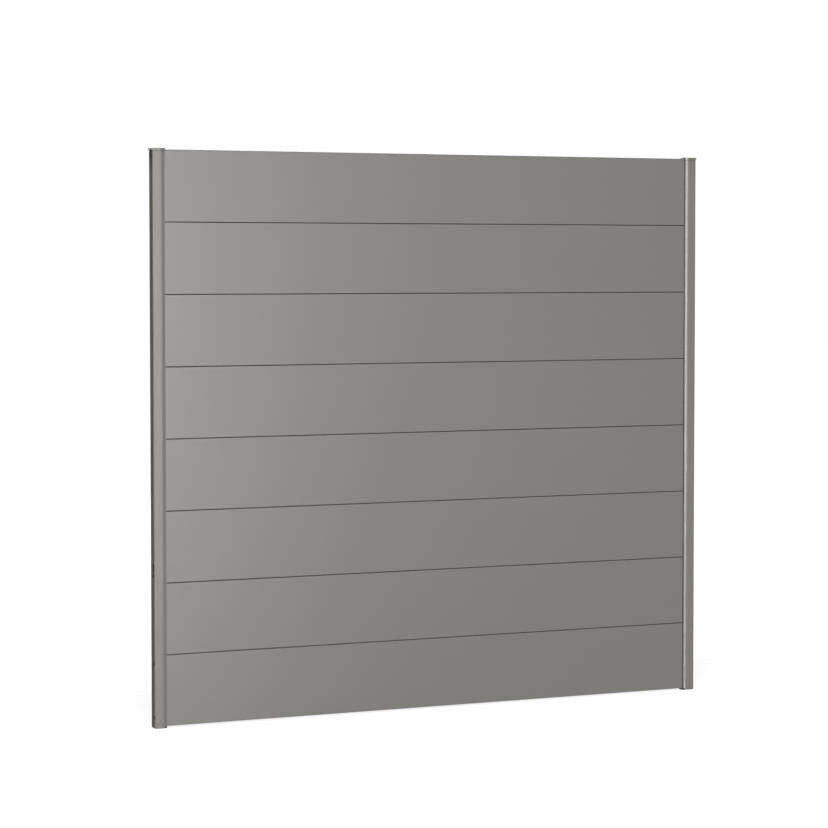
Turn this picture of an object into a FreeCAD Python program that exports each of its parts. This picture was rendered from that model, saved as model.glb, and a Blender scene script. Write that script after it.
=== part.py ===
import FreeCAD, Part
import math
import os

# A screen wall panel: two slim posts, and eight wide hollow boards stacked between them.
# Millimetres. +X runs along the panel to the right, the front faces -Y, and +Z is up.
# The origin lies on the floor, midway between the posts and midway through their depth.

# Overall sizes
board_count = 8
board_pitch = 225.0
seam_gap = 2.4
overall_width = 1960.0

# Post section
post_width = 40.0
post_depth = 32.0
post_wall = 2.0
post_corner = 0.8
flat_width = 25.5
lip_radius = 45.0
channel_depth = 22.0
recess_depth = 5.0
recess_rim = 2.0

# Fixing holes in the floor of each post's outer recess, as heights above the post's lower end.
# They lie behind the middle of the post's depth by the set-back.
hole_radius = 6.0
hole_set_back = 3.0
low_hole_height = 30.0
middle_hole_height = 200.0
high_hole_height = 476.0
slot_height = 502.0
slot_length = 25.0
slot_width = 10.0

# Boards
board_thickness = 20.0
board_wall = 1.6
board_edge = 0.9
board_end_gap = 3.0
chamber_count = 4
groove_width = 8.0
groove_depth = 10.0

# Strips in the seams and along the top edge
strip_clearance = 0.2
strip_wall = 1.2
strip_end_clearance = 1.0
seam_shoulder = 3.5
top_strip_thickness = 1.2
top_strip_edge = 0.4

# Gaskets between the post lips and the boards
gasket_thickness = 1.6
gasket_overhang = 0.6
gasket_blade = 13.0
gasket_root_width = 3.0
gasket_root_depth = 1.4
gasket_clearance = 0.1

# Post caps
cap_overhang = 2.0
cap_plate = 3.5
cap_skirt = 3.0
cap_clearance = 0.3
cap_edge = 1.2
cap_headroom = 0.7

# Post feet
foot_flange = 1.5
foot_inset = 3.0
pad_height = 4.5
pad_clearance = 0.3
toe_width = 6.0
toe_inset = 2.5

# Plugs of the caps and feet, in the posts' chambers
plug_length = 18.0
plug_wall = 1.5
plug_clearance = 0.25

# One overrun serves every cut that runs out of its solid
overrun = 2.0

# Places worked out from the sizes above
outer_x = -overall_width / 2
tip_x = outer_x + post_width
web_x = tip_x - channel_depth
chamber_low_x = outer_x + recess_depth + post_wall
chamber_high_x = web_x - post_wall
chamber_half = post_depth / 2 - post_wall
recess_half = post_depth / 2 - recess_rim
channel_half = board_thickness / 2 + gasket_thickness
board_height = board_pitch - seam_gap
board_start_x = web_x + board_end_gap
stack_bottom = foot_flange + pad_height
boards_top = stack_bottom + board_count * board_pitch - seam_gap
stack_top = boards_top + top_strip_thickness
post_top = stack_top + cap_headroom
toe_x = tip_x - toe_width


def point(x, y, z=0.0):
    return FreeCAD.Vector(x, y, z)


def block(low, high):
    """A box between two corners."""
    return Part.makeBox(high[0] - low[0], high[1] - low[1], high[2] - low[2], point(*low))


def flat(corners):
    """A plane face inside the closed chain of corners."""
    return Part.Face(Part.makePolygon(corners + corners[:1]))


def along_panel(corners, start_x):
    """A straight section of (y, z) corners carried along the panel, between the two posts."""
    section = flat([point(start_x, y, z) for y, z in corners])
    return section.extrude(point(-2 * start_x, 0))


def other_side(shape):
    """The same piece on the right post."""
    return shape.mirror(point(0, 0), point(1, 0))


def other_face(shape):
    """The same piece at the rear of its post."""
    return shape.mirror(point(0, 0), point(0, 1))


def lip_end_angle(grow):
    """Where the lip's curve ends, on an outline that stands out from the post by grow."""
    reach = post_width - flat_width + grow
    return math.asin(reach / (lip_radius + grow))


def lip_point(grow, angle):
    """A point on the front lip's curve, which leaves the flat front at angle zero."""
    radius = lip_radius + grow
    x = outer_x + flat_width + radius * math.sin(angle)
    y = -post_depth / 2 + lip_radius - radius * math.cos(angle)
    return point(x, y)


def to_rear(spot):
    return point(spot.x, -spot.y)


def post_outline(grow):
    """The post's outline with no channel or recess, standing out by grow all round."""
    angle = lip_end_angle(grow)
    start = lip_point(grow, 0.0)
    middle = lip_point(grow, angle / 2)
    end = lip_point(grow, angle)
    corner = point(outer_x - grow, start.y)
    edges = [
        Part.LineSegment(to_rear(corner), corner).toShape(),
        Part.LineSegment(corner, start).toShape(),
        Part.Arc(start, middle, end).toShape(),
        Part.LineSegment(end, to_rear(end)).toShape(),
        Part.Arc(to_rear(end), to_rear(middle), to_rear(start)).toShape(),
        Part.LineSegment(to_rear(start), to_rear(corner)).toShape(),
    ]
    return Part.Face(Part.Wire(edges))


def upright(face, low_z, high_z):
    """A face of the ground plane, raised to low_z and carried up to high_z."""
    raised = face.copy()
    raised.translate(point(0, 0, low_z))
    return raised.extrude(point(0, 0, high_z - low_z))


def upright_edges_at(shape, x, y):
    """The upright edges that stand on one spot of the plan."""
    spot = point(x, y)
    found = []
    for edge in shape.Edges:
        feet = [point(v.Point.x, v.Point.y) for v in edge.Vertexes]
        if all(foot.isEqual(spot, post_corner / 2) for foot in feet):
            found.append(edge)
    return found


def gasket_root(grow):
    """The root of the left front gasket, or the groove that takes it, larger by grow."""
    root_x = tip_x + gasket_overhang - gasket_blade
    low = (root_x - grow, -channel_half - gasket_root_depth - grow)
    high = (root_x + gasket_root_width + grow, -channel_half)
    return low, high


def fixing_hole(height):
    """A round hole through the recess floor."""
    place = point(outer_x, hole_set_back, foot_flange + height)
    return Part.makeCylinder(hole_radius, recess_depth + post_wall + overrun, place, point(1, 0))


def fixing_slot():
    """An upright slot through the recess floor."""
    reach = recess_depth + post_wall + overrun
    middle_z = foot_flange + slot_height
    half_run = (slot_length - slot_width) / 2
    low = (outer_x, hole_set_back - slot_width / 2, middle_z - half_run)
    high = (outer_x + reach, hole_set_back + slot_width / 2, middle_z + half_run)
    slot = block(low, high)
    for end_z in (low[2], high[2]):
        place = point(outer_x, hole_set_back, end_z)
        slot = slot.fuse(Part.makeCylinder(slot_width / 2, reach, place, point(1, 0)))
    return slot.removeSplitter()


def make_post():
    """The left post: a hollow section with a board channel inside and a shallow recess outside."""
    low = foot_flange
    high = post_top
    post = upright(post_outline(0.0), low, high)
    corners = []
    for y in (-post_depth / 2, post_depth / 2):
        corners += upright_edges_at(post, outer_x, y)
    post = post.makeFillet(post_corner, corners)
    below = low - overrun
    above = high + overrun
    cuts = [
        block((chamber_low_x, -chamber_half, below), (chamber_high_x, chamber_half, above)),
        block((web_x, -channel_half, below), (tip_x + overrun, channel_half, above)),
        block((outer_x - overrun, -recess_half, below), (outer_x + recess_depth, recess_half, above)),
    ]
    toe_reach = post_depth / 2 + overrun
    cuts.append(block((toe_x, -toe_reach, below), (tip_x + overrun, toe_reach, stack_bottom)))
    groove_low, groove_high = gasket_root(gasket_clearance)
    groove = block((*groove_low, below), (*groove_high, above))
    cuts += [groove, other_face(groove)]
    for height in (low_hole_height, middle_hole_height, high_hole_height):
        cuts.append(fixing_hole(height))
    cuts.append(fixing_slot())
    for cut in cuts:
        post = post.cut(cut)
    return post


def plug(low_z, high_z):
    """A thin rectangular ring that fits in the left post's chamber."""
    low = (chamber_low_x + plug_clearance, -chamber_half + plug_clearance, low_z)
    high = (chamber_high_x - plug_clearance, chamber_half - plug_clearance, high_z)
    hollow_low = (low[0] + plug_wall, low[1] + plug_wall, low_z)
    hollow_high = (high[0] - plug_wall, high[1] - plug_wall, high_z)
    return block(low, high).cut(block(hollow_low, hollow_high))


def make_cap():
    """The left post's cap: a plate on the post's end, a skirt round it and a plug inside it."""
    skirt_z = post_top - cap_skirt
    cap_top = post_top + cap_plate
    hood = upright(post_outline(cap_overhang), skirt_z, cap_top)
    rim = [edge for edge in hood.Edges if all(v.Point.z > post_top for v in edge.Vertexes)]
    hood = hood.makeFillet(cap_edge, rim)
    hood = hood.cut(upright(post_outline(cap_clearance), skirt_z, post_top))
    notch_half = channel_half + cap_clearance
    notch_end = tip_x + cap_overhang + overrun
    notch = block((tip_x - overrun, -notch_half, skirt_z), (notch_end, notch_half, post_top))
    hood = hood.cut(notch)
    return hood.fuse(plug(post_top - plug_length, post_top)).removeSplitter()


def make_foot():
    """The left post's foot: a flange under the post, a plug in its chamber, a pad under the boards,
    and a bar across the lower ends of the lips, which shows as a toe at the front and the rear."""
    half = post_depth / 2 - foot_inset
    flange = block((outer_x + foot_inset, -half, 0.0), (tip_x - foot_inset, half, foot_flange))
    pad_half = channel_half - pad_clearance
    pad_low = (web_x + pad_clearance, -pad_half, foot_flange)
    pad_high = (tip_x - foot_inset, pad_half, stack_bottom)
    toe_half = post_depth / 2 - toe_inset
    toes = block((toe_x + pad_clearance, -toe_half, 0.0), (tip_x, toe_half, stack_bottom))
    foot = flange.fuse([plug(foot_flange, foot_flange + plug_length), block(pad_low, pad_high), toes])
    return foot.removeSplitter()


def make_gasket():
    """The left front gasket: a blade between lip and boards, with a root in the lip."""
    end_x = tip_x + gasket_overhang
    blade_low = (end_x - gasket_blade, -channel_half, stack_bottom)
    blade = block(blade_low, (end_x, -board_thickness / 2, stack_top))
    root_low, root_high = gasket_root(0.0)
    root = block((*root_low, stack_bottom), (*root_high, stack_top))
    return blade.fuse(root).removeSplitter()


def board_outline(base):
    """The closed (y, z) outline of a board, with a groove in both long edges."""
    face = board_thickness / 2
    shoulder = face - board_edge
    side = groove_width / 2
    top = base + board_height
    lower = [(-side, base), (-side, base + groove_depth), (side, base + groove_depth), (side, base)]
    upper = [(side, top), (side, top - groove_depth), (-side, top - groove_depth), (-side, top)]
    right = [(shoulder, base), (face, base + board_edge), (face, top - board_edge), (shoulder, top)]
    left = [(-shoulder, top), (-face, top - board_edge), (-face, base + board_edge), (-shoulder, base)]
    return lower + right + upper + left


def board_hollows(base):
    """The low and high (y, z) corners of a board's chambers, and of the pockets beside its grooves."""
    half = board_thickness / 2 - board_wall
    floor = base + groove_depth + board_wall
    run = board_height - 2 * (groove_depth + board_wall)
    chamber = (run - (chamber_count - 1) * board_wall) / chamber_count
    hollows = []
    for i in range(chamber_count):
        low_z = floor + i * (chamber + board_wall)
        hollows.append(((-half, low_z), (half, low_z + chamber)))
    inner = groove_width / 2 + board_wall
    for low_z, high_z in (
        (base + board_wall, base + groove_depth),
        (base + board_height - groove_depth, base + board_height - board_wall),
    ):
        hollows.append(((-half, low_z), (-inner, high_z)))
        hollows.append(((inner, low_z), (half, high_z)))
    return hollows


def make_board(number):
    """One hollow board, counted from zero at the bottom."""
    base = stack_bottom + number * board_pitch
    board = along_panel(board_outline(base), board_start_x)
    for low, high in board_hollows(base):
        start = (board_start_x - overrun, *low)
        end = (-board_start_x + overrun, *high)
        board = board.cut(block(start, end))
    return board


def make_joining_strip(number):
    """The strip in one seam: a hollow tongue in two grooves, with shoulders that keep the boards apart."""
    middle = stack_bottom + (number + 1) * board_pitch - seam_gap / 2
    side = groove_width / 2 - strip_clearance
    wing = board_thickness / 2 - seam_shoulder
    step = seam_gap / 2
    reach = step + groove_depth - strip_end_clearance
    quarter = [(side, reach), (side, step), (wing, step)]
    right = quarter + [(y, -z) for y, z in reversed(quarter)]
    outline = right + [(-y, z) for y, z in reversed(right)]
    strip = along_panel([(y, middle + z) for y, z in outline], board_start_x)
    low = (board_start_x - overrun, -side + strip_wall, middle - reach + strip_wall)
    high = (-board_start_x + overrun, side - strip_wall, middle + reach - strip_wall)
    return strip.cut(block(low, high))


def make_top_strip():
    """The strip on the top edge: a flat cover with two legs in the top board's groove."""
    face = board_thickness / 2
    side = groove_width / 2 - strip_clearance
    inner = side - strip_wall
    leg_z = boards_top - groove_depth + strip_end_clearance
    right = [
        (inner, boards_top),
        (inner, leg_z),
        (side, leg_z),
        (side, boards_top),
        (face, boards_top),
        (face, stack_top - top_strip_edge),
        (face - top_strip_edge, stack_top),
    ]
    outline = right + [(-y, z) for y, z in reversed(right)]
    return along_panel(outline, board_start_x)


def save(name, shape):
    shape.exportStep("parts/" + name + ".step")


def save_pair(name, shape):
    """A piece of the left post, and its mirror image on the right post."""
    save("left_" + name, shape)
    save("right_" + name, other_side(shape))


os.makedirs("parts", exist_ok=True)
save_pair("post", make_post())
save_pair("post_cap", make_cap())
save_pair("post_foot", make_foot())
front_gasket = make_gasket()
save_pair("front_gasket", front_gasket)
save_pair("rear_gasket", other_face(front_gasket))
for number in range(board_count):
    save("board_" + str(number + 1), make_board(number))
for number in range(board_count - 1):
    save("joining_strip_" + str(number + 1), make_joining_strip(number))
save("top_edge_strip", make_top_strip())
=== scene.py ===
import math

import bmesh
import bpy
import numpy as np
from mathutils.geometry import delaunay_2d_cdt
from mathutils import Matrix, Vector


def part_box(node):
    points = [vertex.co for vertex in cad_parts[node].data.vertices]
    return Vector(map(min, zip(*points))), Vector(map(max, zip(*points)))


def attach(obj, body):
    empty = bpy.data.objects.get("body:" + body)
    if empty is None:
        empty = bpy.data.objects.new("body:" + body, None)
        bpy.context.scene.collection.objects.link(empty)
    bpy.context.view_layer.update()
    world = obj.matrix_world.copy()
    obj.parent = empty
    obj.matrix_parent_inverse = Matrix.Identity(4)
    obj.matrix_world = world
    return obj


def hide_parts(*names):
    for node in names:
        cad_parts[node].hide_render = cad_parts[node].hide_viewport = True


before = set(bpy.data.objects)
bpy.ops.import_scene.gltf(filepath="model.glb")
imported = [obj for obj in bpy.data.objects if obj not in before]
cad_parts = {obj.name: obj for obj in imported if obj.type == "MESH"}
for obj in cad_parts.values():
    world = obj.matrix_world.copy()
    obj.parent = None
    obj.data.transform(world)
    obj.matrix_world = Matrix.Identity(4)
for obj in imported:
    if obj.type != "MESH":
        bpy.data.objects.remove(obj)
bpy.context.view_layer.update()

# A screen wall panel: two slim posts, and eight wide boards between them, in a satin grey coat.
# Metres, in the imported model's frame: +X along the panel, the front faces -Y, and +Z is up.

# Sizes of the post's section that its packed box doesn't give
FLAT_WIDTH = 0.0255
LIP_RADIUS = 0.045
POST_WALL = 0.002
POST_CORNER = 0.0008
CHANNEL_DEPTH = 0.022
RECESS_DEPTH = 0.005
RECESS_RIM = 0.002
FINE_EDGE = 0.0004
TIP_EDGE = 0.0004
TOE_WIDTH = 0.006

# Fixing holes in the recess floor: (height above the post's end, half of the straight run, radius)
FIXING_HOLES = np.array([
    [0.030, 0.0, 0.006],
    [0.200, 0.0, 0.006],
    [0.476, 0.0, 0.006],
    [0.502, 0.0075, 0.005],
])
# The holes lie behind the middle of the post's depth by the set-back. Each has a square cell of the wall's
# grid to itself, given by half its width.
HOLE_SET_BACK = 0.003
HOLE_CELL = 0.0085
RIM_POINTS = 36

# Boards
BOARD_COUNT = 8
BOARD_WALL = 0.0016
BOARD_EDGE = 0.0011
GROOVE_WIDTH = 0.008
GROOVE_DEPTH = 0.010
CHAMBER_COUNT = 4

# Strip on the top edge
STRIP_CLEARANCE = 0.0002
STRIP_WALL = 0.0012
STRIP_EDGE = 0.0004

# Gaskets
GASKET_THICKNESS = 0.0016
GASKET_ROOT_WIDTH = 0.003
GASKET_CLEARANCE = 0.0001
GASKET_EDGE = 0.0004

# Caps
CAP_OVERHANG = 0.002
CAP_CLEARANCE = 0.0003
CAP_SKIRT = 0.003
CAP_EDGE = 0.0012
CAP_CORNER = 0.0012
PLUG_WALL = 0.0015
PLUG_CLEARANCE = 0.00025

# Fineness of the curves, and the least lengths and angles that count
LIP_POINTS = 25
EDGE_STEPS = 6
HOLLOW_STEPS = 4
SUPPORT = 0.00015
LONG_SIDE = 0.001
WELD_DISTANCE = 0.000002
FILL_TOLERANCE = WELD_DISTANCE / 10
CREASE_ANGLE = math.radians(38)
LEAST_LENGTH = 1e-12
LEAST_ANGLE = 1e-3
ANGLE_SLACK = 0.01

# Satin coat: noises per metre, their shares in the colour, and the orange peel's strength and depth
BOARD_COLOUR = (0.137, 0.131, 0.119)
POST_COLOUR = (0.137, 0.131, 0.120)
COAT_ROUGHNESS = 0.325
COAT_WANDER = 0.012
COAT_SPECULAR = 0.85
SPECK_SCALE = 2600.0
SPECK_SHARE = 0.9
SPECK_CONTRAST = 0.045
CLOUD_SCALE = 30.0
CLOUD_SHARE = 0.1
SHEEN_SCALE = 420.0
PEEL_SCALE = 1100.0
PEEL_STRENGTH = 0.12
PEEL_DEPTH = 0.00004

# Dark plastic and rubber: noises per metre, and the grain's strength and depth
GRAIN_SCALE = 1800.0
GRAIN_STRENGTH = 0.25
GRAIN_DEPTH = 0.00005
MATT_SCALE = 240.0
MATT_WANDER = 0.06

# The part of a noise's range that is spread over its results
NOISE_LOW = 0.3
NOISE_HIGH = 0.7

# Studio: the floor glows from its middle value at the near distance to full white at the far one
WHITE = (1.0, 1.0, 1.0, 1.0)
SKY_STRENGTH = 0.02
FLOOR_SIZE = 160.0
FLOOR_POINTS = 9
FLOOR_GREY = (0.18, 0.18, 0.18, 1.0)
FLOOR_ROUGHNESS = 0.2
FLOOR_SPECULAR = 0.14
FLOOR_GLOW = 0.80
GLOW_NEAR = 2.0
GLOW_FAR = 7.0

# Camera: its place, and how far it is tipped from level, rolled and turned from +Y, in degrees
SENSOR_WIDTH = 36.0
LENS = 127.65
CAMERA_PLACE = (-4.25106, -8.54880, 1.44140)
CAMERA_DIP = 2.8732
CAMERA_ROLL = 0.0197
CAMERA_TURN = -26.0456


def box_of(node):
    """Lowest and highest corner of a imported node, as arrays."""
    low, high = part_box(node)
    return np.array(low), np.array(high)


post_low, post_high = box_of("left_post")
gasket_low, gasket_high = box_of("left_front_gasket")
cap_low, cap_high = box_of("left_post_cap")
board_low, board_high = box_of("board_1")
strip_low, strip_high = box_of("top_edge_strip")

post_width = post_high[0] - post_low[0]
post_half = post_high[1]
board_half = board_high[1]
channel_half = board_half + GASKET_THICKNESS
recess_half = post_half - RECESS_RIM
web = post_width - CHANNEL_DEPTH
chamber_near = RECESS_DEPTH + POST_WALL
chamber_far = web - POST_WALL
chamber_half = post_half - POST_WALL


def rounded(corners, radii, steps=EDGE_STEPS):
    """A closed outline with every corner rounded. The arc at a corner touches both its sides, so its
    centre lies on the bisector at radius / sin(half angle), and it starts at radius / tan(half angle)
    from the corner. On a long side a point stands just before or just after each arc, to keep the flat flat.
    A corner of radius zero stays sharp and repeats its point, so the count is the same for any size."""
    corners = np.asarray(corners, float)
    radii = np.asarray(radii, float)
    back = np.roll(corners, 1, axis=0) - corners
    ahead = np.roll(corners, -1, axis=0) - corners
    back_run = np.linalg.norm(back, axis=1, keepdims=True)
    ahead_run = np.linalg.norm(ahead, axis=1, keepdims=True)
    back /= np.maximum(back_run, LEAST_LENGTH)
    ahead /= np.maximum(ahead_run, LEAST_LENGTH)
    half = 0.5 * np.arccos(np.clip(np.sum(back * ahead, axis=1), -1.0, 1.0))
    half = np.clip(half, LEAST_ANGLE, math.pi / 2)
    bisector = back + ahead
    bisector /= np.maximum(np.linalg.norm(bisector, axis=1, keepdims=True), LEAST_LENGTH)
    reach = (radii / np.tan(half))[:, None]
    centre = corners + bisector * (radii / np.sin(half))[:, None]
    first = corners + back * reach - centre
    last = corners + ahead * reach - centre
    start = np.arctan2(first[:, 1], first[:, 0])
    sweep = np.arctan2(last[:, 1], last[:, 0]) - start
    sweep = (sweep + math.pi) % (2 * math.pi) - math.pi
    angle = start[:, None] + sweep[:, None] * np.linspace(0.0, 1.0, steps)
    arc = np.stack([np.cos(angle), np.sin(angle)], axis=-1) * radii[:, None, None]
    arc = centre[:, None, :] + arc
    margin = np.where(radii > 0.0, SUPPORT, 0.0)[:, None]
    before = arc[:, 0] + back * np.where(back_run > LONG_SIDE, margin, 0.0)
    after = arc[:, -1] + ahead * np.where(ahead_run > LONG_SIDE, margin, 0.0)
    return np.concatenate([before[:, None], arc, after[:, None]], axis=1).reshape(-1, 2)


def without_repeats(loop):
    """The loop with each point that repeats the one before it left out."""
    gap = np.linalg.norm(loop - np.roll(loop, 1, axis=0), axis=1)
    return loop[gap > WELD_DISTANCE]


def grid_faces(rows, columns, closed=True):
    """Quads between neighbouring rows and columns of points. A closed grid joins its last column to the
    first."""
    row = np.arange(rows - 1)[:, None]
    column = np.arange(columns if closed else columns - 1)[None, :]
    beside = (column + 1) % columns
    quads = [row * columns + column, row * columns + beside]
    quads += [(row + 1) * columns + beside, (row + 1) * columns + column]
    return np.stack(quads, axis=-1).reshape(-1, 4)


def carried(loop, stations, place):
    """The loop carried along a straight path: one row of points for each station."""
    across = np.broadcast_to(loop, (len(stations), *loop.shape))
    along = np.broadcast_to(np.asarray(stations)[:, None], across.shape[:2])
    return place(across[..., 0], across[..., 1], along).reshape(-1, 3)


def closing(loops, station, place):
    """A flat end of a carried section. Delaunay triangles join the points of all its loops and keep the
    loops' sides as edges. A triangle stays if a line from its middle crosses an odd number of those sides,
    so it lies in the outline and not in a hollow."""
    points = np.concatenate(loops)
    start = np.cumsum([0] + [len(loop) for loop in loops])
    after = np.concatenate([at + np.roll(np.arange(len(loop)), -1) for at, loop in zip(start, loops)])
    sides = np.stack([np.arange(len(points)), after], axis=1)
    flat = [Vector(point) for point in points.tolist()]
    corners, _, triangles, _, _, _ = delaunay_2d_cdt(flat, sides.tolist(), [], 0, FILL_TOLERANCE)
    corners, triangles = np.array(corners), np.array(triangles)
    middle = corners[triangles].mean(axis=1)[:, None, :]
    one, other = points, points[after]
    rise = other[:, 1] - one[:, 1]
    spans = (one[:, 1] > middle[..., 1]) != (other[:, 1] > middle[..., 1])
    slope = (other[:, 0] - one[:, 0]) / np.where(rise == 0.0, 1.0, rise)
    beyond = one[:, 0] + (middle[..., 1] - one[:, 1]) * slope > middle[..., 0]
    inside = np.sum(spans & beyond, axis=1) % 2 == 1
    return place(corners[:, 0], corners[:, 1], np.full(len(corners), station)), triangles[inside]


def section_piece(loops, stations, place):
    """Patches of a section carried between the first and the last station, with both its ends closed. The
    first loop is its outline and the others are its hollows."""
    patches = [(carried(loop, stations, place), grid_faces(len(stations), len(loop))) for loop in loops]
    return patches + [closing(loops, station, place) for station in (stations[0], stations[-1])]


def on_post(side):
    """Places the post section's (distance in from the outer face, depth, height) on the left (-1) or the
    right (1)."""
    def place(inward, depth, height):
        return np.stack([-side * (post_low[0] + inward), depth, height], axis=-1)
    return place


def along_panel(depth, height, run):
    """Places a board section's (depth, height) at a distance along the panel."""
    return np.stack([run, depth, height], axis=-1)


def make_piece(name, patches, material, slot, *replaced):
    """Joins the patches into one closed mesh at the origin, welds their shared edges and hands it to the
    frame."""
    points = np.concatenate([p for p, _ in patches])
    starts = np.cumsum([0] + [len(p) for p, _ in patches])
    faces = [row for (_, f), start in zip(patches, starts) for row in (f + start).tolist()]
    mesh = bpy.data.meshes.new(name)
    mesh.from_pydata(points.tolist(), [], faces)
    shape = bmesh.new()
    shape.from_mesh(mesh)
    bmesh.ops.remove_doubles(shape, verts=shape.verts, dist=WELD_DISTANCE)
    bmesh.ops.recalc_face_normals(shape, faces=shape.faces)
    if not all(edge.is_manifold for edge in shape.edges):
        print(name, "has open edges")
    shape.to_mesh(mesh)
    shape.free()
    mesh.shade_smooth()
    mesh.set_sharp_from_angle(angle=CREASE_ANGLE)
    mesh.materials.append(material)
    piece = bpy.data.objects.new(name, mesh)
    bpy.context.scene.collection.objects.link(piece)
    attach(piece, "root")
    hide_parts(*replaced)


def lip_curve(grow):
    """The front lip of an outline that stands out from the post by grow: an arc about a centre behind the
    inner end of the flat front. It leaves the flat at angle zero, and ends at the inner side plus grow."""
    radius = LIP_RADIUS + grow
    end = math.asin((post_width - FLAT_WIDTH + grow) / radius)
    angle = np.linspace(0.0, end, LIP_POINTS)
    inward = FLAT_WIDTH + radius * np.sin(angle)
    depth = LIP_RADIUS - post_half - radius * np.cos(angle)
    return np.stack([inward, depth], axis=1)


def both_halves(front, radii):
    """A section from its front half: the rear half is the front one mirrored, in the other order."""
    corners = np.concatenate([front, (front * [1.0, -1.0])[::-1]])
    return corners, np.concatenate([radii, radii[::-1]])


def post_section():
    """The post's outline. It starts at the recess floor, goes round the front flat and lip to the board
    channel with its gasket groove, and back along the rear; its last side is the recess floor."""
    lip = lip_curve(0.0)
    groove_near = gasket_low[0] - post_low[0] - GASKET_CLEARANCE
    groove_far = groove_near + GASKET_ROOT_WIDTH + 2 * GASKET_CLEARANCE
    groove_bottom = gasket_low[1] - GASKET_CLEARANCE
    rim = [(RECESS_DEPTH, -recess_half), (0.0, -recess_half), (0.0, -post_half)]
    channel = [
        (post_width, -channel_half),
        (post_width - TOE_WIDTH, -channel_half),
        (groove_far, -channel_half),
        (groove_far, groove_bottom),
        (groove_near, groove_bottom),
        (groove_near, -channel_half),
        (web, -channel_half),
    ]
    lip_radii = np.zeros(LIP_POINTS)
    lip_radii[-1] = TIP_EDGE
    rim_radii = [FINE_EDGE, FINE_EDGE, POST_CORNER]
    channel_radii = [TIP_EDGE, 0, 0, 0, 0, 0, FINE_EDGE]
    radii = np.concatenate([rim_radii, lip_radii, channel_radii])
    return without_repeats(rounded(*both_halves(np.concatenate([rim, lip, channel]), radii)))


def chamber_section():
    """The post's chamber, the other way round because it is a hollow. Its last side is behind the recess
    floor."""
    corners = [(chamber_near, chamber_half), (chamber_far, chamber_half)]
    corners += [(chamber_far, -chamber_half), (chamber_near, -chamber_half)]
    return rounded(corners, np.full(len(corners), FINE_EDGE))


rim_angle = (np.arange(RIM_POINTS) + 0.5) * 2 * math.pi / RIM_POINTS
cell_share = np.tan(rim_angle[rim_angle < math.pi / 4 + ANGLE_SLACK])
cell_share = np.concatenate([-cell_share[::-1], cell_share])
wall_columns = HOLE_SET_BACK + HOLE_CELL * cell_share
hole_height = post_low[2] + FIXING_HOLES[:, 0]


def post_stations():
    """Heights of the post's rows of points: its ends, the boards' lower edge, and those round each hole."""
    lift = np.sign(cell_share) * FIXING_HOLES[:, 1:2] + HOLE_CELL * cell_share
    ends = [post_low[2], board_low[2], post_high[2]]
    return np.unique(np.concatenate([ends, (hole_height[:, None] + lift).ravel()]))


def hole_ring(hole, reach):
    """Points round one hole as (depth, height): the rim where reach is given as its radius, and the square
    cell round it where it isn't. Both follow the same angles, and the halves stand apart by the straight
    run."""
    run = np.sign(np.sin(rim_angle)) * FIXING_HOLES[hole, 1]
    direction = np.stack([np.cos(rim_angle), np.sin(rim_angle)], axis=1)
    if reach is None:
        ring = HOLE_CELL * direction / np.abs(direction).max(axis=1, keepdims=True)
    else:
        ring = reach * direction
    return ring + np.stack([np.full(RIM_POINTS, HOLE_SET_BACK), hole_height[hole] + run], axis=1)


def holed_wall(inward, edge, stations, place):
    """A flat wall across the post with the fixing holes in it: a grid of quads from edge to edge, without the
    cells of the holes, and in each cell a ring of quads from its square side to the rim."""
    across = np.concatenate([[-edge], wall_columns, [edge]])
    depth, height = np.meshgrid(across, stations)
    points = place(np.full(depth.size, inward), depth.ravel(), height.ravel())
    faces = grid_faces(len(stations), len(across), closed=False)
    middle_depth = depth.ravel()[faces].mean(axis=1)
    middle_height = height.ravel()[faces].mean(axis=1)
    away = np.abs(middle_height[:, None] - hole_height) - FIXING_HOLES[:, 1] - HOLE_CELL
    kept = (np.abs(middle_depth - HOLE_SET_BACK) > HOLE_CELL) | np.all(away > 0.0, axis=1)
    patches = [(points, faces[kept])]
    for hole in range(len(FIXING_HOLES)):
        rings = np.concatenate([hole_ring(hole, FIXING_HOLES[hole, 2]), hole_ring(hole, None)])
        ring_points = place(np.full(len(rings), inward), rings[:, 0], rings[:, 1])
        patches.append((ring_points, grid_faces(2, RIM_POINTS)))
    return patches


def hole_tubes(place):
    """The walls of the fixing holes, from the recess floor to the chamber."""
    patches = []
    for hole in range(len(FIXING_HOLES)):
        rim = hole_ring(hole, FIXING_HOLES[hole, 2])
        walls = (RECESS_DEPTH, chamber_near)
        ends = [place(np.full(RIM_POINTS, inward), rim[:, 0], rim[:, 1]) for inward in walls]
        patches.append((np.concatenate(ends), grid_faces(2, RIM_POINTS)))
    return patches


def post_patches(side):
    """One post: the outline and the chamber carried up, each without its last side, which is a holed wall.
    Up to the boards' lower edge the outline is held back from the lips' ends, where the foot's toes are."""
    place = on_post(side)
    stations = post_stations()
    outline, chamber = post_section(), chamber_section()
    held_back = np.minimum(outline, [post_width - TOE_WIDTH, np.inf])
    patches = []
    for loop, heights in ((held_back, stations[:2]), (outline, stations[1:]), (chamber, stations)):
        patches.append((carried(loop, heights, place), grid_faces(len(heights), len(loop), closed=False)))
    walled = []
    for loop in (held_back, outline, chamber):
        columns = wall_columns if loop[0, 1] > loop[-1, 1] else wall_columns[::-1]
        walled.append(np.concatenate([loop, np.stack([np.full(len(columns), loop[0, 0]), columns], axis=1)]))
    patches.append(closing([walled[0], walled[2]], stations[0], place))
    patches.append(closing([walled[0], walled[1]], stations[1], place))
    patches.append(closing([walled[1], walled[2]], stations[-1], place))
    for loop in (outline, chamber):
        patches += holed_wall(loop[0, 0], abs(loop[0, 1]), stations, place)
    return patches + hole_tubes(place)


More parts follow.
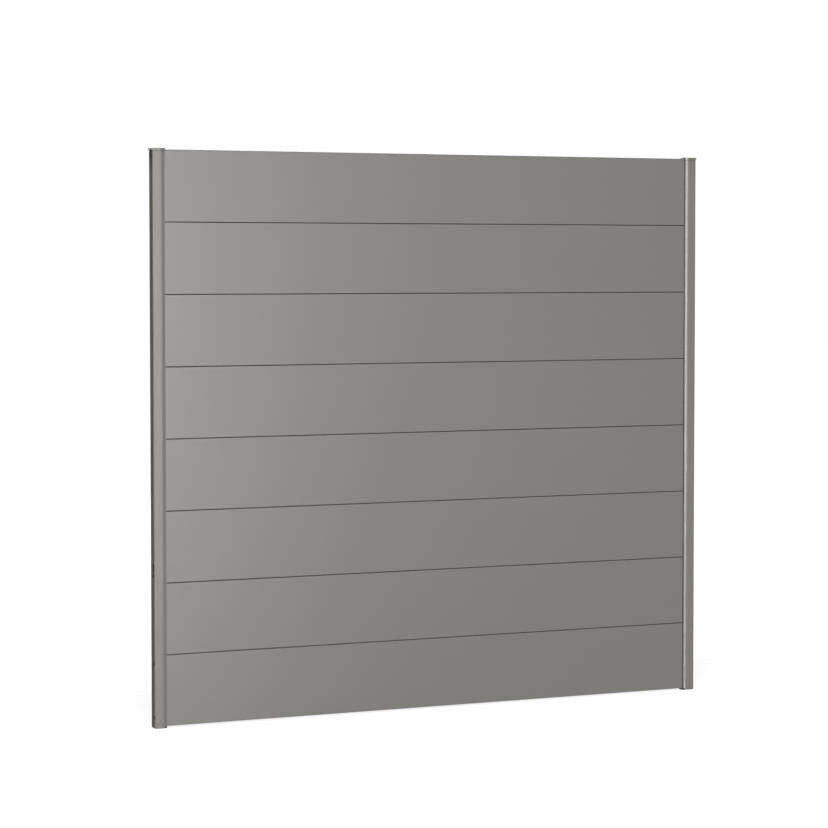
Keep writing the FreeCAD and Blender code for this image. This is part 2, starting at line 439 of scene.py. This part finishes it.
def cap_ring(grow, notch_half):
    """The cap's outline, standing out from the post by grow, with points at the notch over the board channel.
    Also tells which of its points lie in the notch."""
    lip = lip_curve(grow)
    outer = [(-grow, -post_half - grow)]
    inner = [(post_width + grow, -notch_half), (post_width + grow, -notch_half)]
    corner = max(CAP_CORNER + grow - CAP_OVERHANG, FINE_EDGE)
    lip_radii = np.zeros(LIP_POINTS)
    lip_radii[-1] = corner
    radii = np.concatenate([[corner], lip_radii, [0.0, 0.0]])
    in_notch = np.zeros(len(radii), bool)
    in_notch[-1] = True
    corners, radii = both_halves(np.concatenate([outer, lip, inner]), radii)
    in_notch = np.concatenate([in_notch, in_notch[::-1]])
    return rounded(corners, radii), np.repeat(in_notch, EDGE_STEPS + 2)


def plug_ring(loop, inset):
    """Points on the plug's rectangle in the chamber, each in line with one of the loop's from the middle."""
    middle = np.array([(chamber_near + chamber_far) / 2, 0.0])
    half = np.array([(chamber_far - chamber_near) / 2, chamber_half]) - inset
    share = (loop - middle) / half
    return middle + half * share / np.abs(share).max(axis=1, keepdims=True)


def cap_patches(side):
    """One cap as rings from the middle of its top: over the rounded edge, down the skirt, in under its lower
    edge, up to the post's end, across to the plug, down it and up its inside. In the notch the skirt ends
    level with the post's end."""
    place = on_post(side)
    seat = post_high[2]
    notch_half = channel_half + CAP_CLEARANCE
    middle = np.array([(chamber_near + chamber_far) / 2, 0.0])
    wide, in_notch = cap_ring(CAP_OVERHANG, notch_half)
    snug, _ = cap_ring(CAP_CLEARANCE, notch_half)
    skirt = np.where(in_notch, seat, seat - CAP_SKIRT)
    turn = np.linspace(0.0, math.pi / 2, EDGE_STEPS)
    rings = [(np.broadcast_to(middle, wide.shape), cap_high[2])]
    brow, _ = cap_ring(CAP_OVERHANG - CAP_EDGE - SUPPORT, notch_half)
    rings.append((brow, cap_high[2]))
    for sine, cosine in zip(np.sin(turn), np.cos(turn)):
        edge, _ = cap_ring(CAP_OVERHANG - CAP_EDGE * (1.0 - sine), notch_half)
        rings.append((edge, cap_high[2] - CAP_EDGE * (1.0 - cosine)))
    rings.append((wide, cap_high[2] - CAP_EDGE - SUPPORT))
    rings += [(wide, seat), (wide, skirt), (snug, skirt), (snug, seat)]
    plug_out = plug_ring(snug, PLUG_CLEARANCE)
    plug_in = plug_ring(snug, PLUG_CLEARANCE + PLUG_WALL)
    rings += [(plug_out, seat), (plug_out, cap_low[2]), (plug_in, cap_low[2]), (plug_in, seat)]
    rings.append((np.broadcast_to(middle, wide.shape), seat))
    points = [place(loop[:, 0], loop[:, 1], np.broadcast_to(height, len(loop))) for loop, height in rings]
    return [(np.concatenate(points), grid_faces(len(rings), len(wide)))]


def board_section(low, high):
    """A board's outline between two heights, with rounded face edges and a groove in both long edges."""
    groove = GROOVE_WIDTH / 2
    right = [
        (board_half, low),
        (board_half, high),
        (groove, high),
        (groove, high - GROOVE_DEPTH),
    ]
    lower_right = [(groove, low + GROOVE_DEPTH), (groove, low)]
    left = [(-depth, height) for depth, height in reversed(lower_right + right)]
    half_radii = [BOARD_EDGE, BOARD_EDGE] + [FINE_EDGE] * 4
    return rounded(right + left + lower_right, half_radii + half_radii)


def hollow(low, high):
    """A rectangular hollow between two (depth, height) corners, with rounded corners, the other way round."""
    corners = [low, (low[0], high[1]), high, (high[0], low[1])]
    return rounded(corners, np.full(len(corners), FINE_EDGE), steps=HOLLOW_STEPS)


def board_hollows(low, high):
    """A board's chambers, one above the other, and the pockets beside its two grooves."""
    half = board_half - BOARD_WALL
    floor = low + GROOVE_DEPTH + BOARD_WALL
    run = high - low - 2 * (GROOVE_DEPTH + BOARD_WALL) + BOARD_WALL
    pitch = run / CHAMBER_COUNT
    found = [
        hollow((-half, floor + i * pitch), (half, floor + (i + 1) * pitch - BOARD_WALL))
        for i in range(CHAMBER_COUNT)
    ]
    inner = GROOVE_WIDTH / 2 + BOARD_WALL
    for start, end in ((low + BOARD_WALL, low + GROOVE_DEPTH), (high - GROOVE_DEPTH, high - BOARD_WALL)):
        found.append(hollow((-half, start), (-inner, end)))
        found.append(hollow((inner, start), (half, end)))
    return found


def top_strip_section():
    """The top strip: a flat cover with two legs in the top board's groove."""
    seat = box_of("board_" + str(BOARD_COUNT))[1][2]
    leg_end = strip_low[2]
    outside = GROOVE_WIDTH / 2 - STRIP_CLEARANCE
    inside = outside - STRIP_WALL
    right = [
        (inside, seat),
        (inside, leg_end),
        (outside, leg_end),
        (outside, seat),
        (board_half, seat),
        (board_half, strip_high[2]),
    ]
    corners = right + [(-depth, height) for depth, height in reversed(right)]
    radii = [0.0, 0.0, 0.0, 0.0, 0.0, STRIP_EDGE]
    return without_repeats(rounded(corners, np.array(radii + radii[::-1])))


def gasket_section():
    """The front gasket: a blade between lip and board with a rounded end, and a root in the lip's groove."""
    near = gasket_low[0] - post_low[0]
    far = gasket_high[0] - post_low[0]
    root = near + GASKET_ROOT_WIDTH
    corners = [(near, gasket_low[1]), (root, gasket_low[1]), (root, -channel_half), (far, -channel_half)]
    corners += [(far, -board_half), (near, -board_half)]
    return without_repeats(rounded(corners, [0.0, 0.0, 0.0, GASKET_EDGE, GASKET_EDGE, 0.0]))


def add_nodes(material, *kinds):
    """New nodes of the given kinds in a material's tree, in order."""
    return [material.node_tree.nodes.new(kind) for kind in kinds]


def plain_material(name):
    """A material with one principled shader, and its Object coordinates."""
    material = bpy.data.materials.new(name)
    material.use_nodes = True
    shader = material.node_tree.nodes["Principled BSDF"]
    place = material.node_tree.nodes.new("ShaderNodeTexCoord")
    return material, shader, place.outputs["Object"], material.node_tree.links.new


def noise_of(material, place, scale, detail):
    """A noise texture of a given fineness, per metre."""
    noise, = add_nodes(material, "ShaderNodeTexNoise")
    noise.inputs["Scale"].default_value = scale
    noise.inputs["Detail"].default_value = detail
    material.node_tree.links.new(place, noise.inputs["Vector"])
    return noise.outputs["Fac"]


def ranged(material, value, low, high, start=NOISE_LOW, end=NOISE_HIGH):
    """Spreads a value from start to end between a low and a high result."""
    spread, = add_nodes(material, "ShaderNodeMapRange")
    spread.inputs["From Min"].default_value = start
    spread.inputs["From Max"].default_value = end
    spread.inputs["To Min"].default_value = low
    spread.inputs["To Max"].default_value = high
    material.node_tree.links.new(value, spread.inputs["Value"])
    return spread.outputs["Result"]


def blended(material, value, low, high):
    """A colour between two near shades, by a noise value."""
    ramp, = add_nodes(material, "ShaderNodeValToRGB")
    ramp.color_ramp.elements[0].position = NOISE_LOW
    ramp.color_ramp.elements[1].position = NOISE_HIGH
    ramp.color_ramp.elements[0].color = (*low, 1.0)
    ramp.color_ramp.elements[1].color = (*high, 1.0)
    material.node_tree.links.new(value, ramp.inputs["Fac"])
    return ramp.outputs["Color"]


def satin_coat(name, colour):
    """A fine metallic powder coat: mica specks in the colour, a faint cloudiness over a hand's width, an
    orange-peel grain in the surface and a roughness that wanders a little."""
    material, shader, place, link = plain_material(name)
    shade = np.array(colour)
    specks = noise_of(material, place, SPECK_SCALE, 2.0)
    cloud = noise_of(material, place, CLOUD_SCALE, 2.0)
    mixed, = add_nodes(material, "ShaderNodeMath")
    mixed.operation = "MULTIPLY_ADD"
    mixed.inputs[1].default_value = CLOUD_SHARE
    link(cloud, mixed.inputs[0])
    weighed, = add_nodes(material, "ShaderNodeMath")
    weighed.operation = "MULTIPLY"
    weighed.inputs[1].default_value = SPECK_SHARE
    link(specks, weighed.inputs[0])
    link(weighed.outputs["Value"], mixed.inputs[2])
    dark, light = shade * (1.0 - SPECK_CONTRAST), shade * (1.0 + SPECK_CONTRAST)
    link(blended(material, mixed.outputs["Value"], dark, light), shader.inputs["Base Color"])
    sheen = noise_of(material, place, SHEEN_SCALE, 3.0)
    link(ranged(material, sheen, COAT_ROUGHNESS - COAT_WANDER, COAT_ROUGHNESS + COAT_WANDER),
         shader.inputs["Roughness"])
    bump, = add_nodes(material, "ShaderNodeBump")
    bump.inputs["Strength"].default_value = PEEL_STRENGTH
    bump.inputs["Distance"].default_value = PEEL_DEPTH
    link(noise_of(material, place, PEEL_SCALE, 2.0), bump.inputs["Height"])
    link(bump.outputs["Normal"], shader.inputs["Normal"])
    shader.inputs["Specular IOR Level"].default_value = COAT_SPECULAR
    return material


def moulded_plastic(name, dark, light, roughness):
    """Dark moulded plastic or rubber with a fine matt grain."""
    material, shader, place, link = plain_material(name)
    grain = noise_of(material, place, GRAIN_SCALE, 3.0)
    link(blended(material, grain, dark, light), shader.inputs["Base Color"])
    sheen = noise_of(material, place, MATT_SCALE, 2.0)
    link(ranged(material, sheen, roughness - MATT_WANDER, roughness + MATT_WANDER),
         shader.inputs["Roughness"])
    bump, = add_nodes(material, "ShaderNodeBump")
    bump.inputs["Strength"].default_value = GRAIN_STRENGTH
    bump.inputs["Distance"].default_value = GRAIN_DEPTH
    link(grain, bump.inputs["Height"])
    link(bump.outputs["Normal"], shader.inputs["Normal"])
    return material


board_coat = satin_coat("board_satin_coat", BOARD_COLOUR)
post_coat = satin_coat("post_satin_coat", POST_COLOUR)
cap_coat = satin_coat("cap_satin_coat", POST_COLOUR)
seam_plastic = moulded_plastic("seam_plastic", (0.010, 0.010, 0.010), (0.016, 0.016, 0.016), 0.6)
foot_plastic = moulded_plastic("foot_plastic", (0.016, 0.016, 0.017), (0.024, 0.024, 0.025), 0.55)
gasket_rubber = moulded_plastic("gasket_rubber", (0.014, 0.014, 0.014), (0.022, 0.022, 0.022), 0.7)

board_ends = [board_low[0], board_high[0]]
for number in range(1, BOARD_COUNT + 1):
    low, high = box_of("board_" + str(number))
    loops = [board_section(low[2], high[2])] + board_hollows(low[2], high[2])
    patches = section_piece(loops, board_ends, along_panel)
    make_piece("coated_board_" + str(number), patches, board_coat, "board_coat", "board_" + str(number))

make_piece("coated_top_strip", section_piece([top_strip_section()], board_ends, along_panel),
           board_coat, "board_coat", "top_edge_strip")

gasket_run = [gasket_low[2], gasket_high[2]]
for side, word in ((-1, "left"), (1, "right")):
    make_piece(word + "_coated_post", post_patches(side), post_coat, "post_coat", word + "_post")
    make_piece(word + "_coated_cap", cap_patches(side), cap_coat, "cap_coat", word + "_post_cap")
    for turn, face in ((1.0, "front"), (-1.0, "rear")):
        loop = gasket_section() * [1.0, turn]
        make_piece(word + "_" + face + "_rubber_gasket", section_piece([loop], gasket_run, on_post(side)),
                   gasket_rubber, "gasket_rubber", word + "_" + face + "_gasket")

for node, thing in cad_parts.items():
    plastic = None
    if node.startswith("joining_strip"):
        plastic = seam_plastic
    elif node.endswith("foot"):
        plastic = foot_plastic
    if plastic:
        for place in thing.material_slots:
            place.material = plastic


def seen_directly(tree):
    """One for camera, glossy and transmission rays, and zero for the rest."""
    path = tree.nodes.new("ShaderNodeLightPath")
    first = tree.nodes.new("ShaderNodeMath")
    second = tree.nodes.new("ShaderNodeMath")
    first.operation = second.operation = "MAXIMUM"
    tree.links.new(path.outputs["Is Camera Ray"], first.inputs[0])
    tree.links.new(path.outputs["Is Glossy Ray"], first.inputs[1])
    tree.links.new(first.outputs["Value"], second.inputs[0])
    tree.links.new(path.outputs["Is Transmission Ray"], second.inputs[1])
    return second.outputs["Value"]


def white_room(ambient):
    """A white background to look at, which lights the object as a soft even sky of a lower strength."""
    world = bpy.data.worlds.new("studio")
    world.use_nodes = True
    tree = world.node_tree
    sky = tree.nodes["Background"]
    sky.inputs["Color"].default_value = WHITE
    sky.inputs["Strength"].default_value = ambient
    white = tree.nodes.new("ShaderNodeBackground")
    white.inputs["Color"].default_value = WHITE
    white.inputs["Strength"].default_value = 1.0
    either = tree.nodes.new("ShaderNodeMixShader")
    tree.links.new(seen_directly(tree), either.inputs["Fac"])
    tree.links.new(sky.outputs["Background"], either.inputs[1])
    tree.links.new(white.outputs["Background"], either.inputs[2])
    tree.links.new(either.outputs["Shader"], tree.nodes["World Output"].inputs["Surface"])
    bpy.context.scene.world = world


def white_floor(size, glow):
    """A plain pale floor. It throws light back to the panel as a satin sheet does, and looks matt. To the
    eye it is mostly its own white, so that it keeps only a faint shadow near the panel."""
    run = np.linspace(-size / 2, size / 2, FLOOR_POINTS)
    x, y = np.meshgrid(run, run)
    points = np.stack([x.ravel(), y.ravel(), np.zeros(x.size)], axis=1)
    mesh = bpy.data.meshes.new("studio_floor")
    mesh.from_pydata(points.tolist(), [], grid_faces(len(run), len(run), closed=False).tolist())
    material = bpy.data.materials.new("studio_floor")
    material.use_nodes = True
    tree = material.node_tree
    satin = tree.nodes["Principled BSDF"]
    satin.inputs["Base Color"].default_value = FLOOR_GREY
    satin.inputs["Roughness"].default_value = FLOOR_ROUGHNESS
    satin.inputs["Specular IOR Level"].default_value = FLOOR_SPECULAR
    matt = tree.nodes.new("ShaderNodeBsdfDiffuse")
    matt.inputs["Color"].default_value = FLOOR_GREY
    path = tree.nodes.new("ShaderNodeLightPath")
    lit = tree.nodes.new("ShaderNodeMixShader")
    tree.links.new(path.outputs["Is Camera Ray"], lit.inputs["Fac"])
    tree.links.new(satin.outputs["BSDF"], lit.inputs[1])
    tree.links.new(matt.outputs["BSDF"], lit.inputs[2])
    shine = tree.nodes.new("ShaderNodeEmission")
    place = tree.nodes.new("ShaderNodeTexCoord")
    away = tree.nodes.new("ShaderNodeVectorMath")
    away.operation = "LENGTH"
    tree.links.new(place.outputs["Object"], away.inputs[0])
    rising = ranged(material, away.outputs["Value"], glow, 1.0, GLOW_NEAR, GLOW_FAR)
    tree.links.new(rising, shine.inputs["Strength"])
    seen = tree.nodes.new("ShaderNodeAddShader")
    either = tree.nodes.new("ShaderNodeMixShader")
    tree.links.new(lit.outputs["Shader"], seen.inputs[0])
    tree.links.new(shine.outputs["Emission"], seen.inputs[1])
    tree.links.new(seen_directly(tree), either.inputs["Fac"])
    tree.links.new(lit.outputs["Shader"], either.inputs[1])
    tree.links.new(seen.outputs["Shader"], either.inputs[2])
    tree.links.new(either.outputs["Shader"], tree.nodes["Material Output"].inputs["Surface"])
    mesh.materials.append(material)
    floor = bpy.data.objects.new("studio_floor", mesh)
    bpy.context.scene.collection.objects.link(floor)


def soft_lamp(name, place, aim, size, power):
    """A soft lamp of a width and a height at a place, turned to a spot, which the camera doesn't see."""
    data = bpy.data.lights.new(name, "AREA")
    data.shape = "RECTANGLE"
    data.size, data.size_y = size
    data.energy = power
    lamp = bpy.data.objects.new(name, data)
    bpy.context.scene.collection.objects.link(lamp)
    towards = Vector(aim) - Vector(place)
    lamp.location = place
    lamp.rotation_euler = towards.to_track_quat("-Z", "Y").to_euler()
    lamp.visible_camera = False


white_room(SKY_STRENGTH)
white_floor(FLOOR_SIZE, FLOOR_GLOW)
soft_lamp("far_softbox", (5.2, -30.0, 2.4), (0.0, 0.0, 1.05), (4.0, 4.4), 2000.0)
soft_lamp("top_softbox", (-3.0, -6.2, 17.0), (0.0, 0.0, 0.9), (4.0, 2.0), 4600.0)
soft_lamp("rear_softbox", (1.5, 8.0, 4.0), (0.0, 0.0, 0.9), (4.0, 3.0), 420.0)

camera_data = bpy.data.cameras.new("photo_camera")
camera_data.sensor_width = SENSOR_WIDTH
camera_data.lens = LENS
camera = bpy.data.objects.new("photo_camera", camera_data)
bpy.context.scene.collection.objects.link(camera)
camera.location = CAMERA_PLACE
camera.rotation_euler = np.radians([90.0 - CAMERA_DIP, CAMERA_ROLL, CAMERA_TURN])
bpy.context.scene.camera = camera
bpy.context.scene.view_settings.view_transform = "Standard"
